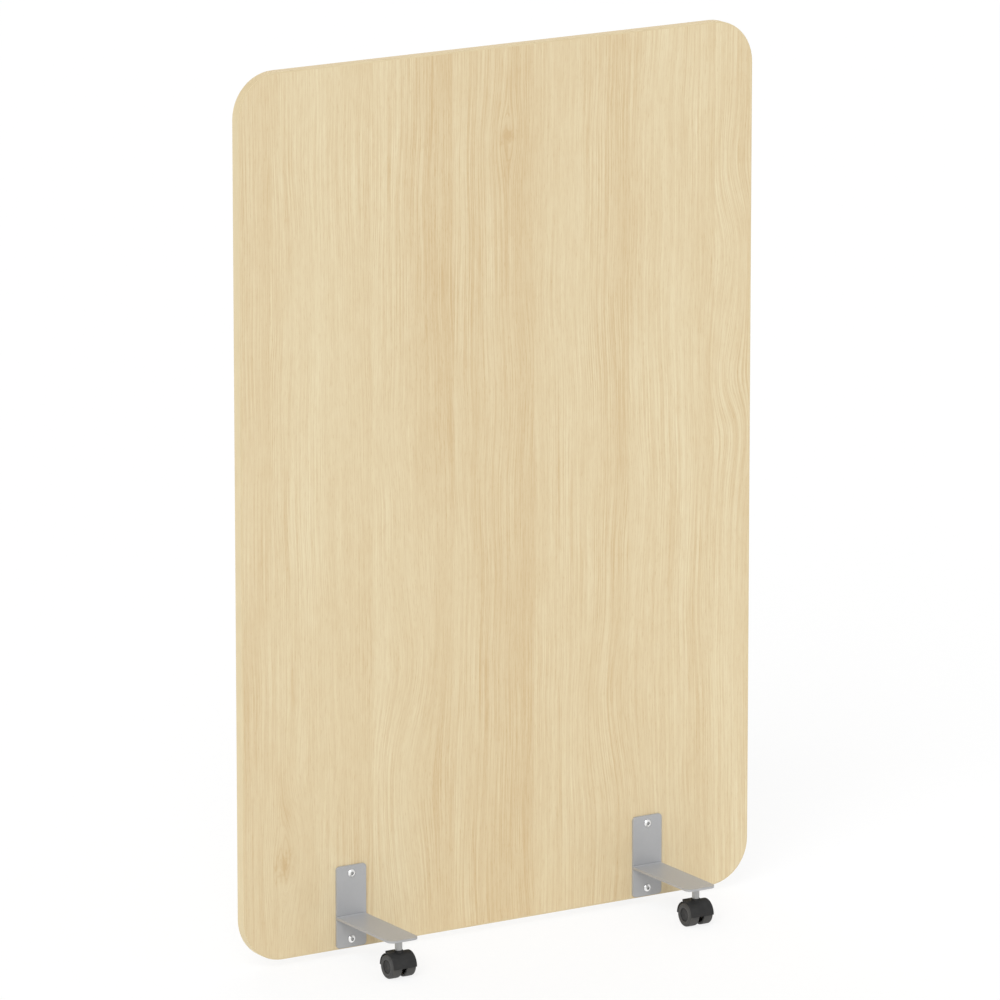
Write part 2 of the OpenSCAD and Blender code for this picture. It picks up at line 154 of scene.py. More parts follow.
class Graph:
    """The node tree of one material or world, built from expressions."""

    def __init__(self, owner: Union[bpy.types.Material, bpy.types.World]) -> None:
        """Empties the owner's node tree.

        Args:
            owner: The material or world whose nodes are made.
        """
        owner.use_nodes = True
        self.tree = owner.node_tree
        self.tree.nodes.clear()

    def add(
        self,
        kind: str,
        settings: Mapping[str, Any] | None = None,
        values: Mapping[Union[str, int], Any] | None = None,
    ) -> bpy.types.Node:
        """Makes a node, sets it, then fills or links its sockets.

        Args:
            kind: Blender's type name of the node.
            settings: Attributes set first; "stops" fills a colour ramp with (place, colour) pairs.
            values: Numbers, colours or wires by socket name or index.

        Returns:
            The new node.
        """
        node = self.tree.nodes.new(kind)
        for name, value in (settings or {}).items():
            if name == "stops":
                elements = node.color_ramp.elements
                while len(elements) < len(value):
                    elements.new(0.5)
                for element, (place, colour) in zip(elements, value):
                    element.position = place
                    element.color = colour
            else:
                setattr(node, name, value)
        for key, value in (values or {}).items():
            target = node.inputs[key]
            if isinstance(value, Wire):
                self.tree.links.new(value.socket, target)
            else:
                target.default_value = value
        return node

    def wire(self, node: bpy.types.Node, output: Union[str, int] = 0) -> Wire:
        """One output of a node, ready for expressions."""
        return Wire(self, node.outputs[output])

    def math(self, operation: str, *terms: Value) -> Wire:
        """One Math node on up to three terms."""
        node = self.add("ShaderNodeMath", {"operation": operation}, dict(enumerate(terms)))
        return self.wire(node)

    def length(self, a: Wire, b: Value) -> Wire:
        """The root of the sum of two squares."""
        return self.math("SQRT", a * a + b * b)

    def place(self) -> tuple[Wire, Wire, Wire]:
        """Object coordinates, in metres.

        Returns:
            x, y and z as three wires.
        """
        coordinate = self.wire(self.add("ShaderNodeTexCoord"), "Object")
        parts = self.add("ShaderNodeSeparateXYZ", values={0: coordinate})
        return tuple(self.wire(parts, i) for i in range(3))

    def point(self, x: Value, y: Value, z: Value) -> Wire:
        """A vector from three numbers or wires."""
        return self.wire(self.add("ShaderNodeCombineXYZ", values={0: x, 1: y, 2: z}))

    def noise(self, at: Wire, scale: float = 1.0, detail: float = 2.0, rough: float = 0.5) -> Wire:
        """Soft noise from 0 to 1, with its middle near 0.5.

        Args:
            at: The place that is looked up.
            scale: Blobs per unit of that place.
            detail: Number of finer layers.
            rough: Share that each finer layer adds.

        Returns:
            The noise's value.
        """
        node = self.add("ShaderNodeTexNoise", {"noise_dimensions": "3D"},
                        {"Vector": at, "Scale": scale, "Detail": detail, "Roughness": rough})
        return self.wire(node, "Fac")

    def spread(self, value: Wire, low: float, high: float, bottom: float = 0.0, top: float = 1.0,
               smooth: bool = False) -> Wire:
        """Moves a range of values to another, and clamps outside it.

        Args:
            value: The value to move.
            low: Value that becomes the bottom.
            high: Value that becomes the top.
            bottom: Result at and below low.
            top: Result at and above high.
            smooth: Whether the way between is an S-curve, not a straight line.

        Returns:
            The moved value.
        """
        node = self.add("ShaderNodeMapRange",
                        {"interpolation_type": "SMOOTHSTEP" if smooth else "LINEAR", "clamp": True},
                        {0: value, 1: low, 2: high, 3: bottom, 4: top})
        return self.wire(node)

    def vary(self, noise: Wire, reach: float, bottom: float, top: float) -> Wire:
        """Spreads a noise's values within reach of 0.5, its middle, over another range."""
        return self.spread(noise, 0.5 - reach, 0.5 + reach, bottom, top)

    def within(self, value: Wire, edge: float, fade: float) -> Wire:
        """1 up to the edge, and from there down to 0 over the fade."""
        return self.spread(value, edge, edge + fade, 1.0, 0.0)

    def bell(self, value: Wire, width: float) -> Wire:
        """A bell curve of the value: e to the power of minus its square over the width's."""
        share = value * (1 / width)
        return self.math("EXPONENT", -(share * share))

    def spot(self, dx: Wire, width: float, dz: Wire, height: float) -> Wire:
        """A soft round spot: the product of a bell curve in each direction."""
        return self.bell(dx, width) * self.bell(dz, height)

    def grey(self, level: Wire) -> Wire:
        """The grey colour of a level."""
        node = self.add("ShaderNodeCombineColor", values={0: level, 1: level, 2: level})
        return self.wire(node)

    def mix(self, share: Value, first: Any, second: Any, way: str = "MIX") -> Wire:
        """Mixes two colours by a share from 0 to 1."""
        node = self.add("ShaderNodeMix", {"data_type": "RGBA", "blend_type": way},
                        {0: share, 6: first, 7: second})
        return self.wire(node, 2)

    def ramp(self, value: Wire, stops: Sequence[tuple[float, Colour]]) -> Wire:
        """Looks the value up in a row of colours."""
        node = self.add("ShaderNodeValToRGB", {"stops": stops}, {0: value})
        return self.wire(node, "Color")

    def rounded(self, radius: float) -> Wire:
        """A surface direction that turns softly round sharp edges."""
        return self.wire(self.add("ShaderNodeBevel", {"samples": 6}, {"Radius": radius}))

    def bump(
        self, height: Wire, distance: float, strength: float, normal: Wire | None = None
    ) -> Wire:
        """Turns a height map into a surface direction.

        Args:
            height: Height from 0 to 1.
            distance: Height of a full step, in metres.
            strength: Share of the effect.
            normal: Surface direction to start from, if it isn't the mesh's own.

        Returns:
            The bumped surface direction.
        """
        values = {"Height": height, "Distance": distance, "Strength": strength}
        if normal is not None:
            values["Normal"] = normal
        return self.wire(self.add("ShaderNodeBump", values=values))

    def surface(self, **values: Any) -> None:
        """Ends the graph in a Principled shader.

        Args:
            values: Its sockets by name, with an underscore for each space.
        """
        named = {key.replace("_", " "): value for key, value in values.items()}
        shader = self.add("ShaderNodeBsdfPrincipled", values=named)
        self.close(self.wire(shader))

    def seen(self) -> Wire:
        """1 for rays from the camera, off a mirror or through a clear piece, otherwise 0.

        Returns:
            The sum of the three, of which a ray is at most one.
        """
        path = self.add("ShaderNodeLightPath")
        direct = self.wire(path, "Is Camera Ray") + self.wire(path, "Is Glossy Ray")
        return direct + self.wire(path, "Is Transmission Ray")

    def close(self, shader: Wire) -> None:
        """Links a shader to the surface output."""
        self.add("ShaderNodeOutputMaterial", values={"Surface": shader})


# ---------- finishes ----------


@dataclass(frozen=True)
class Finish:
    """A surface finish; its material is built when it is first asked for."""

    name: str

    def draw(self, graph: Graph) -> None:
        """Builds the finish's nodes."""
        raise NotImplementedError

    def material(self) -> bpy.types.Material:
        """Finds the material, or builds it the first time.

        Returns:
            The Blender material.
        """
        found = bpy.data.materials.get(self.name)
        if found is None:
            found = bpy.data.materials.new(self.name)
            self.draw(Graph(found))
        return found


@dataclass(frozen=True)
class Stave:
    """One strip of the printed wood: its left edge and its lightness, left to right.

    The lightness is given twice, for the panel's upper half and for its foot.
    """

    left: float
    upper: tuple[float, float, float]
    foot: tuple[float, float, float]


@dataclass(frozen=True)
class Knot:
    """A small knot: its place, the size of its dark core, and how far it pushes the grain."""

    x: float
    z: float
    core_w: float
    core_h: float
    push: float
    reach_w: float
    reach_h: float
    depth: float


@dataclass(frozen=True)
class Lean:
    """A patch where the grain leans: its middle, its reach and its sideways run per rise."""

    x: float
    z: float
    reach_w: float
    reach_h: float
    slope: float


@dataclass(frozen=True)
class Flame:
    """A dark streak in the grain: its middle, width, height, lean and darkness."""

    x: float
    z: float
    width: float
    height: float
    slope: float
    depth: float


@dataclass(frozen=True)
class Grain:
    """One layer of the print: a noise with its scales across and along the board, per metre.

    Each stave looks the noise up a shift further on, so it breaks at the seams.
    Between its two peak values, a layer of marks goes from none to full.
    """

    across: float
    shift: float
    along: float
    weight: float = 1.0
    detail: float = 2.0
    rough: float = 0.5
    peaks: tuple[float, float] = (0.0, 1.0)

    def read(self, graph: Graph, across: Wire, number: Value, along: Wire) -> Wire:
        """Looks the layer up.

        Args:
            graph: The graph that gets the nodes.
            across: Place across the grain, in metres.
            number: The stave's number from the left.
            along: Place along the grain, in metres.

        Returns:
            The noise, from 0 to 1.
        """
        at = graph.point(across * self.across, number * self.shift, along * self.along)
        return graph.noise(at, detail=self.detail, rough=self.rough)

    def swing(self, noise: Wire) -> Wire:
        """The layer's noise about its middle, times the weight."""
        return (noise - 0.5) * self.weight

    def marks(self, graph: Graph, noise: Wire) -> Wire:
        """The layer's marks, times the weight."""
        return graph.spread(noise, *self.peaks) * self.weight


@dataclass(frozen=True)
class Laminate(Finish):
    """Wood-print laminate: broad upright staves, crisp wandering grain, two small knots.

    clarity is the least and greatest contrast of the lines, and tones the range
    that the colours span. Over the heights foot_z the staves turn from the
    foot's lightness to the upper half's. stave_middle is the place of a stave's
    middle lightness, as a share of its width, and seam half a seam's width, as a
    share of the panel's.
    """

    dark: str = "d6bf96"
    light: str = "e5d6b2"
    width: float = PANEL_W
    staves: tuple[Stave, ...] = (
        Stave(-0.400, (0.50, 0.46, 0.32), (0.30, 0.44, 0.54)),
        Stave(-0.354, (0.54, 0.72, 0.48), (0.56, 0.56, 0.42)),
        Stave(-0.199, (0.70, 0.50, 0.10), (0.72, 0.58, 0.32)),
        Stave(-0.072, (0.46, 0.36, 0.26), (0.54, 0.30, 0.12)),
        Stave(0.054, (0.50, 0.56, 0.24), (0.52, 0.54, 0.26)),
        Stave(0.204, (0.44, 0.72, 0.48), (0.48, 0.60, 0.50)),
        Stave(0.341, (0.66, 0.56, 0.42), (0.60, 0.62, 0.58)),
    )
    knots: tuple[Knot, ...] = (
        Knot(0.013, 1.087, 0.009, 0.006, 0.009, 0.030, 0.045, 0.75),
        Knot(-0.338, 0.138, 0.010, 0.015, 0.010, 0.035, 0.060, 0.85),
    )
    leans: tuple[Lean, ...] = (
        Lean(-0.322, 0.215, 0.030, 0.080, -0.24),
        Lean(-0.140, 0.300, 0.050, 0.130, 0.26),
        Lean(0.180, 0.220, 0.050, 0.120, -0.20),
        Lean(0.367, 0.950, 0.030, 0.100, -0.28),
        Lean(0.367, 0.680, 0.030, 0.060, -0.34),
    )
    flames: tuple[Flame, ...] = (
        Flame(-0.337, 0.215, 0.007, 0.070, -0.15, 0.36),
        Flame(0.012, 1.040, 0.012, 0.045, 0.00, 0.16),
    )
    drift: Grain = Grain(4.0, 5.3, 2.2, weight=0.042)
    wobble: Grain = Grain(150, 0.0, 110, weight=0.030, detail=3.0)
    lines: Grain = Grain(820, 9.1, 4.2, detail=1.0)
    clear: Grain = Grain(16, 2.3, 5.0)
    dashes: Grain = Grain(480, 5.9, 42.0, weight=0.72)
    rings: Grain = Grain(190, 4.7, 2.4, weight=0.26, rough=0.6)
    broad: Grain = Grain(34, 7.9, 2.6, weight=0.42)
    patch: Grain = Grain(60, 3.1, 26.0, weight=0.46, detail=3.0, rough=0.6)
    pores: Grain = Grain(1100, 3.3, 100, weight=0.50, detail=1.0, peaks=(0.58, 0.78))
    streak: Grain = Grain(110, 6.7, 2.4, weight=0.16, detail=1.0, peaks=(0.60, 0.75))
    clarity: tuple[float, float] = (0.24, 0.76)
    tones: tuple[float, float] = (-0.4, 1.4)
    foot_z: tuple[float, float] = (0.42, 0.66)
    foot_drift: float = 0.5
    flame_drift: float = 0.012
    knot_soft: float = 5 * MM
    stave_middle: float = 0.45
    seam: float = 0.0006
    back_shift: float = 3.7
    emboss: float = 0.06 * MM

    def stops(self, foot: bool) -> list[tuple[float, Colour]]:
        """The staves' lightness across the panel, as the stops of one ramp.

        Args:
            foot: Whether the lightness of the foot is wanted, not the upper half's.

        Returns:
            Places from 0 to 1 with grey colours.
        """
        made: list[tuple[float, Colour]] = []
        ends = [s.left for s in self.staves[1:]] + [self.width / 2]
        for stave, end in zip(self.staves, ends):
            start = stave.left / self.width + 0.5
            stop = end / self.width + 0.5
            middle = start + (stop - start) * self.stave_middle
            places = (start + self.seam, middle, stop - self.seam)
            lights = stave.foot if foot else stave.upper
            made += [(place, (v, v, v, 1.0)) for place, v in zip(places, lights)]
        return made

    def staved(self, graph: Graph, across: Wire, along: Wire, drift: Wire) -> Wire:
        """The staves' lightness, which changes from the foot's to the upper half's.

        Args:
            graph: The graph that gets the nodes.
            across: Place across the panel, in metres.
            along: Height, in metres.
            drift: Slow noise about 0 that makes the change uneven.

        Returns:
            Lightness from 0 to 1.
        """
        share = graph.spread(along + drift * self.foot_drift, *self.foot_z, smooth=True)
        place = across * (1 / self.width) + 0.5
        base = graph.mix(share, graph.ramp(place, self.stops(True)),
                         graph.ramp(place, self.stops(False)))
        return graph.wire(graph.add("ShaderNodeSeparateColor", values={0: base}))

    def bent(self, graph: Graph, across: Wire, along: Wire, drift: Wire) -> tuple[Wire, Value]:
        """Bends the place across the grain, and adds up how dark the knots and flames are.

        A knot pushes the grain to either side, by its push times x over the root
        of x squared plus a small square. A lean shears it by its slope times the
        height over its middle. Both fade as a bell curve.

        Args:
            graph: The graph that gets the nodes.
            across: Place across the panel, in metres.
            along: Height, in metres.
            drift: Slow noise about 0.

        Returns:
            The bent place, and the darkness.
        """
        flow = across + drift * self.drift.weight
        wobble = self.wobble.swing(self.wobble.read(graph, across, 0.0, along))
        core: Value = 0.0
        for knot in self.knots:
            dx, dz = across - knot.x, along - knot.z
            side = dx / graph.length(dx, self.knot_soft)
            flow = flow - side * graph.spot(dx, knot.reach_w, dz, knot.reach_h) * knot.push
            spot = graph.spot(dx + wobble, knot.core_w, dz + wobble, knot.core_h)
            core = spot * knot.depth + core
        for lean in self.leans:
            dx, dz = across - lean.x, along - lean.z
            flow = flow - dz * graph.spot(dx, lean.reach_w, dz, lean.reach_h) * lean.slope
        for flame in self.flames:
            dz = along - flame.z
            dx = across - flame.x - dz * flame.slope + drift * self.flame_drift
            core = graph.spot(dx, flame.width, dz, flame.height) * flame.depth + core
        return flow, core

    def draw(self, graph: Graph) -> None:
        """Lays the layers of grain over the staves, along the bent place.

        The rear face mirrors the staves, and is read further along the grain,
        past the knots, leans and flames.

        Args:
            graph: The material's empty graph.
        """
        x, y, z = graph.place()
        back = y.above(0.0)
        across = x * (1.0 - 2.0 * back)
        along = z + back * self.back_shift
        number: Value = 0.0
        for stave in self.staves[1:]:
            number = across.above(stave.left) + number
        drift = self.drift.read(graph, across, number, along) - 0.5
        flow, core = self.bent(graph, across, along, drift)
        bent = (self.lines, self.dashes, self.rings, self.broad, self.pores, self.streak)
        lines, dashes, rings, broad, pores, streak = (
            layer.read(graph, flow, number, along) for layer in bent)
        clear, patch = (
            layer.read(graph, across, number, along) for layer in (self.clear, self.patch))
        tone = self.staved(graph, across, along, drift) - core
        tone = tone + graph.vary(lines, 0.10, -0.5, 0.5) * graph.vary(clear, 0.15, *self.clarity)
        tone = tone + self.dashes.swing(dashes) + self.rings.swing(rings)
        tone = tone + self.broad.swing(broad) + self.patch.swing(patch)
        tone = tone - self.pores.marks(graph, pores) - self.streak.marks(graph, streak)
        low, high = self.tones
        graph.surface(
            Base_Color=graph.mix(graph.spread(tone, low, high), self.shade(low), self.shade(high)),
            Roughness=graph.vary(rings, 0.2, 0.50, 0.58),
            Normal=graph.bump(lines * 0.6 + pores * 0.4, self.emboss, 0.5),
            IOR=1.45,
        )

    def shade(self, tone: float) -> Colour:
        """A colour on the straight line through dark and light.

        Args:
            tone: Place on that line: 0 is dark and 1 is light.

        Returns:
            The linear colour.
        """
        dark, light = screen(self.dark), screen(self.light)
        mixed = [d + (l - d) * tone for d, l in zip(dark, light)]
        return (mixed[0], mixed[1], mixed[2], 1.0)


@dataclass(frozen=True)
class BandFinish(Finish):
    """Edge band: the same print, with plain streaks that run along the edge."""

    dark: str = "d0bb92"
    light: str = "e4d5b0"
    half: float = PANEL_T / 2
    arris: float = 0.6 * MM
    arris_kept: float = 0.3
    trim: float = 0.25
    top_z: float = PANEL_TOP_Z
    corner_r: float = PANEL_CORNER_R
    # painted shade: how far the band's top run is darkened
    dusk: float = 0.85
    contrast: float = 0.9
    streak_scale: tuple[float, float] = (2.5, 900.0)
    cloud_scale: tuple[float, float] = (30.0, 60.0)
    relief: float = 0.05 * MM

    def draw(self, graph: Graph) -> None:
        """Streaks vary quickly across the panel's thickness and slowly along its edge.

        The trimmed arrises are a little darker. Up the top corners the band darkens
        evenly with height, because the photograph shows its top run no brighter than
        the face. This is painted shade, which keeps the upward-facing top run no
        brighter than the face. Whether dust or the light does that is not known.

        Args:
            graph: The material's empty graph.
        """
        x, y, z = graph.place()
        run, thick = self.streak_scale
        streaks = graph.noise(graph.point(x * run, y * thick, z * run), detail=3.0, rough=0.6)
        run, thick = self.cloud_scale
        clouds = graph.noise(graph.point(x * run, y * thick, z * run), detail=3.0)
        tone = (streaks - 0.5) * self.contrast + (clouds - 0.5) * self.contrast + 0.5
        trimmed = graph.spread(y.size(), self.half - self.arris,
                               self.half - self.arris * self.arris_kept)
        # painted shade: the band darkens with height up the top corners
        painted_top_shade = graph.spread(z, self.top_z - self.corner_r, self.top_z, 0.0, self.dusk)
        tone = tone - trimmed * self.trim - (1.0 - trimmed) * painted_top_shade
        graph.surface(
            Base_Color=graph.mix(graph.spread(tone, -0.5, 1.0), screen(self.dark),
                                 screen(self.light)),
            Roughness=graph.vary(clouds, 0.2, 0.56, 0.64),
            Normal=graph.bump(streaks, self.relief, 0.4),
            IOR=1.45,
            Specular_IOR_Level=0.35,
        )


@dataclass(frozen=True)
class PowderCoat(Finish):
    """Silver-grey powder coat: satin, with orange peel and a faint metallic fleck."""

    grey: str = "afb0b2"
    flecks: tuple[float, float] = (0.93, 1.04)
    clouds: tuple[float, float] = (0.97, 1.03)
    peel: float = 0.04 * MM
    edge_radius: float = 0.5 * MM

    def draw(self, graph: Graph) -> None:
        """Fine flecks and slow clouds of lightness over a softly pebbled surface.

        Args:
            graph: The material's empty graph.
        """
        x, y, z = graph.place()
        here = graph.point(x, y, z)
        fleck = graph.noise(here, scale=2600, detail=1.0)
        cloud = graph.noise(here, scale=25, detail=2.0)
        peel = graph.noise(here, scale=750, detail=2.0)
        light = graph.vary(fleck, 0.25, *self.flecks) * graph.vary(cloud, 0.2, *self.clouds)
        graph.surface(
            Base_Color=graph.mix(1.0, screen(self.grey), graph.grey(light), "MULTIPLY"),
            Metallic=0.15,
            Roughness=graph.vary(cloud, 0.2, 0.36, 0.44),
            Normal=graph.bump(peel, self.peel, 0.5, graph.rounded(self.edge_radius)),
            IOR=1.5,
        )


class Lay(Enum):
    """Direction of the fine marks on the steel."""

    DRAWN = "along Z"
    PLAIN = "none"


@dataclass(frozen=True)
class Steel(Finish):
    """Bright zinc-plated steel, plain or with drawing lines."""

    tint: str = "e9e9e7"
    lay: Lay = Lay.PLAIN
    rough: float = 0.28
    streak: float = 0.86
    cloud: float = 0.95
    draw_out: float = 0.03
    depth: float = 0.02 * MM
    edge_radius: float = 0.2 * MM

    def draw(self, graph: Graph) -> None:
        """Roughness and lightness vary in clouds, and in upright lines where the part is drawn.

        Args:
            graph: The material's empty graph.
        """
        x, y, z = graph.place()
        stretch = self.draw_out if self.lay is Lay.DRAWN else 1.0
        marks = graph.noise(graph.point(x, y, z * stretch), scale=1400, detail=2.0)
        cloud = graph.noise(graph.point(x, y, z), scale=120, detail=2.0)
        light = graph.vary(marks, 0.25, self.streak, 1.0) * graph.vary(cloud, 0.2, self.cloud, 1.0)
        # painted shade: the bolts' steel darkens in the sockets; other steel is unchanged
        light = light * self.plating(graph, x, z)
        graph.surface(
            Base_Color=graph.mix(1.0, screen(self.tint), graph.grey(light), "MULTIPLY"),
            Metallic=1.0,
            Roughness=graph.spread(cloud + marks * 0.5, 0.4, 1.0,
                                   self.rough - 0.06, self.rough + 0.08),
            Normal=graph.bump(marks, self.depth, 0.4, graph.rounded(self.edge_radius)),
        )

    def plating(self, graph: Graph, x: Wire, z: Wire) -> Value:
        """Lightness left after painted shade at a place; plain parts have no painted shade."""
        return 1.0


@dataclass(frozen=True)
class BoltSteel(Steel):
    """The bolts' bright steel, with painted shade darkening the hexagon socket."""

    socket_r: float = 2.4 * MM
    fade: float = 0.1 * MM
    bare: float = 0.42

    def plating(self, graph: Graph, x: Wire, z: Wire) -> Value:
        """Painted shade in a circle round each bolt's axis, a little wider than the socket's
        corners.

        Args:
            graph: The material's graph.
            x: Place across the panel, in metres.
            z: Height, in metres.

        Returns:
            The share of plating.
        """
        aside = x.size() - BRACKET_X
        above = (z - (BOLT_LOW_Z + BOLT_RISE / 2)).size() - BOLT_RISE / 2
        near, far = self.socket_r - self.fade, self.socket_r + self.fade
        # painted shade: the circle round the socket is darkened
        return graph.spread(graph.length(aside, above), near, far, self.bare, 1.0)


@dataclass(frozen=True)
class Nylon(Finish):
    """Black moulded nylon with a fine spark-eroded grain."""

    dark: str = "303030"
    light: str = "3a3a3a"
    rough: float = 0.5
    gleam: float = 0.3
    grain: float = 0.05 * MM
    edge_radius: float = 0.3 * MM

    def body(self, graph: Graph, cloud: Wire) -> Wire:
        """The clean nylon's colour, from dark to light with the clouds."""
        return graph.mix(graph.vary(cloud, 0.2, 0.0, 1.0), screen(self.dark), screen(self.light))

    def draw(self, graph: Graph) -> None:
        """Cloudy lightness, a fine grain, and soft edges.

        Args:
            graph: The material's empty graph.
        """
        x, y, z = graph.place()
        here = graph.point(x, y, z)
        cloud = graph.noise(here, scale=90, detail=3.0)
        grain = graph.noise(here, scale=1900, detail=2.0)
        graph.surface(
            Base_Color=self.soiled(graph, self.body(graph, cloud), y, z),
            Roughness=graph.vary(cloud, 0.2, self.rough - 0.05, self.rough + 0.05),
            Normal=graph.bump(grain, self.grain, 0.6, graph.rounded(self.edge_radius)),
            IOR=1.53,
            Specular_IOR_Level=self.gleam,
        )

    def soiled(self, graph: Graph, body: Wire, y: Wire, z: Wire) -> Wire:
        """The body's colour with any painted light on it; plain nylon has none."""
        return body

    @staticmethod
    def off_axle(graph: Graph, y: Wire, z: Wire) -> Wire:
        """Distance from the castors' axles, which lie along X at rest."""
        return graph.length(y.size() - AXLE_Y, z - AXLE_Z)


@dataclass(frozen=True)
class HoodNylon(Nylon):
    """The hoods' nylon, with painted light: a lighter grey on the shaded web between the wheels."""

    web_r: float = 16.0 * MM
    fade: float = 0.6 * MM

    def soiled(self, graph: Graph, body: Wire, y: Wire, z: Wire) -> Wire:
        """Painted light where the surface is nearer to the axle than the fender's inside, on the
        shaded web.
        """
        share = graph.within(self.off_axle(graph, y, z), self.web_r, self.fade)
        # painted light: the shaded web gets a lighter grey
        return graph.mix(share, body, screen(GAP_PAINTED_LIGHT))


@dataclass(frozen=True)
class RunningNylon(Nylon):
    """The wheels' nylon: a scuffed, slightly paler tread, and painted light in the shaded hollow."""

    tread: str = "4c4b49"
    tread_from: float = 15.5 * MM
    tread_fade: float = 0.9 * MM
    scuffed: float = 0.18
    hollow_r: float = 13.4 * MM
    hollow_x: float = 13.4 * MM
    hollow_fade: float = 0.4 * MM

    def draw(self, graph: Graph) -> None:
        """Pales the tread, far from the axle, and paints light into the shaded hollow that faces the
        web.

        Args:
            graph: The material's empty graph.
        """
        x, y, z = graph.place()
        here = graph.point(x, y, z)
        cloud = graph.noise(here, scale=110, detail=3.0)
        scuff = graph.noise(graph.point(x * 0.25, y, z), scale=900, detail=3.0, rough=0.7)
        radius = self.off_axle(graph, y, z)
        worn = graph.spread(radius, self.tread_from, self.tread_from + self.tread_fade, smooth=True)
        worn = worn * graph.vary(scuff, 0.15, 0.45, 1.0)
        aside = (x.size() - BRACKET_X).size()
        # painted light: the shaded hollow inner side gets a lighter grey
        hollow = graph.within(aside, self.hollow_x, self.hollow_fade)
        hollow = hollow * graph.within(radius, self.hollow_r, self.hollow_fade)
        body = graph.mix(hollow, self.body(graph, cloud), screen(GAP_PAINTED_LIGHT))
        graph.surface(
            Base_Color=graph.mix(worn, body, screen(self.tread)),
            Roughness=graph.spread(worn, 0.0, 1.0, self.rough, self.rough + self.scuffed),
            Normal=graph.bump(scuff, self.grain, 0.6),
            IOR=1.53,
            Specular_IOR_Level=self.gleam,
        )


@dataclass(frozen=True)
class StudioFloor(Finish):
    """Pale floor that keeps the object's soft shadow and otherwise reads as white."""

    paint: float = 0.98
    mottle: float = 0.01
    lift: float = 0.82

    def draw(self, graph: Graph) -> None:
        """Mixes the lit paint with plain white for rays that are seen directly or mirrored.

        Args:
            graph: The material's empty graph.
        """
        x, y, z = graph.place()
        grain = graph.noise(graph.point(x, y, z), scale=60, detail=2.0)
        level = graph.vary(grain, 0.2, self.paint - self.mottle, self.paint + self.mottle)
        lit = graph.wire(graph.add("ShaderNodeBsdfDiffuse", values={"Color": graph.grey(level)}))
        white = graph.wire(graph.add("ShaderNodeEmission", values={"Strength": 1.0}))
        share = graph.spread(graph.seen(), 0.0, 1.0, 0.0, self.lift)
        mixed = graph.add("ShaderNodeMixShader", values={0: share, 1: lit, 2: white})
        graph.close(graph.wire(mixed))


LAMINATE = Laminate("panel_laminate")
BAND = BandFinish("edge_band_print")
COAT = PowderCoat("bracket_powder_coat")
BRIGHT = Steel("nut_steel", tint="f4f4f2", rough=0.24, streak=0.93)
BOLT_STEEL = BoltSteel("bolt_steel", tint="fbfbfa", rough=0.30, streak=0.96, depth=0.004 * MM)
DRAWN = Steel("stem_steel", tint="aeaead", lay=Lay.DRAWN, rough=0.34)
HOOD_NYLON = HoodNylon("hood_nylon", dark="2d2d2d", light="363636", rough=0.58, gleam=0.15)
CAP_NYLON = Nylon("cap_nylon", dark="1c1c1c", light="242424", rough=0.42, gleam=0.25)
WHEEL_NYLON = RunningNylon("wheel_nylon", dark="373737", light="404040", gleam=0.4)
FLOOR = StudioFloor("studio_floor")


# ---------- surfaces worked out with numpy ----------


def arc(cx: float, cr: float, radius: float, start: float, stop: float, count: int) -> np.ndarray:
    """Points of an arc in a section plane: centre plus radius times (cosine, sine).

    Args:
        cx: Centre along the axis.
        cr: Centre's distance from the axis.
        radius: The arc's radius.
        start: First angle in degrees.
        stop: Last angle in degrees.
        count: Number of points.

    Returns:
        An array of (along, out) pairs.
    """
    angle = np.radians(np.linspace(start, stop, count))
    return np.stack([cx + radius * np.cos(angle), cr + radius * np.sin(angle)], axis=-1)


def turn(section: np.ndarray, sides: int) -> np.ndarray:
    """Turns a section about the X axis: (a, r) becomes (a, r cosine t, r sine t).

    Args:
        section: (along, out) pairs.
        sides: Number of steps round the axis.

    Returns:
        A grid of points, section by angle.
    """
    angle = np.linspace(0.0, 2 * np.pi, sides, endpoint=False)
    along = np.repeat(section[:, :1], sides, axis=1)
    out = section[:, 1:]
    return np.stack([along, out * np.cos(angle), out * np.sin(angle)], axis=-1)


def skin(name: str, grid: np.ndarray, sharp_deg: float = 35.0) -> bpy.types.Object:
    """Makes a closed piece from a grid that is closed round its second direction.

    Each square of four neighbouring points becomes a face. Points that fall
    together, at poles, are merged, and the faces are turned outwards.

    Args:
        name: Name of the piece.
        grid: Points, rings by steps round.
        sharp_deg: Edges sharper than this stay sharp.

    Returns:
        The new object.
    """
    rings, sides = grid.shape[:2]
    ring = np.arange(rings - 1)[:, None]
    step = np.arange(sides)[None, :]
    after = (step + 1) % sides
    faces = np.stack([ring * sides + step, ring * sides + after,
                      (ring + 1) * sides + after, (ring + 1) * sides + step], axis=-1).reshape(-1, 4)
    mesh = bpy.data.meshes.new(name)
    mesh.from_pydata(grid.reshape(-1, 3), [], faces)
    work = bmesh.new()
    work.from_mesh(mesh)
    bmesh.ops.remove_doubles(work, verts=work.verts, dist=1e-7)
    bmesh.ops.recalc_face_normals(work, faces=work.faces)
    work.to_mesh(mesh)
    work.free()
    mesh.polygons.foreach_set("use_smooth", np.ones(len(mesh.polygons), dtype=bool))
    mesh.set_sharp_from_angle(angle=math.radians(sharp_deg))
    piece = bpy.data.objects.new(name, mesh)
    bpy.context.scene.collection.objects.link(piece)
    return piece


def dress(names: Iterable[str], finish: Finish) -> None:
    """Gives CAD nodes a finish through their material slots.

    Args:
        names: The CAD nodes.
        finish: The finish for all of them.
    """
    for name in names:
        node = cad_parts[name]
        if not node.material_slots:
            node.data.materials.append(finish.material())
        for place in node.material_slots:
            place.material = finish.material()
        LOG.info("dressed %s in %s", name, finish.name)


# ---------- sub-assemblies ----------


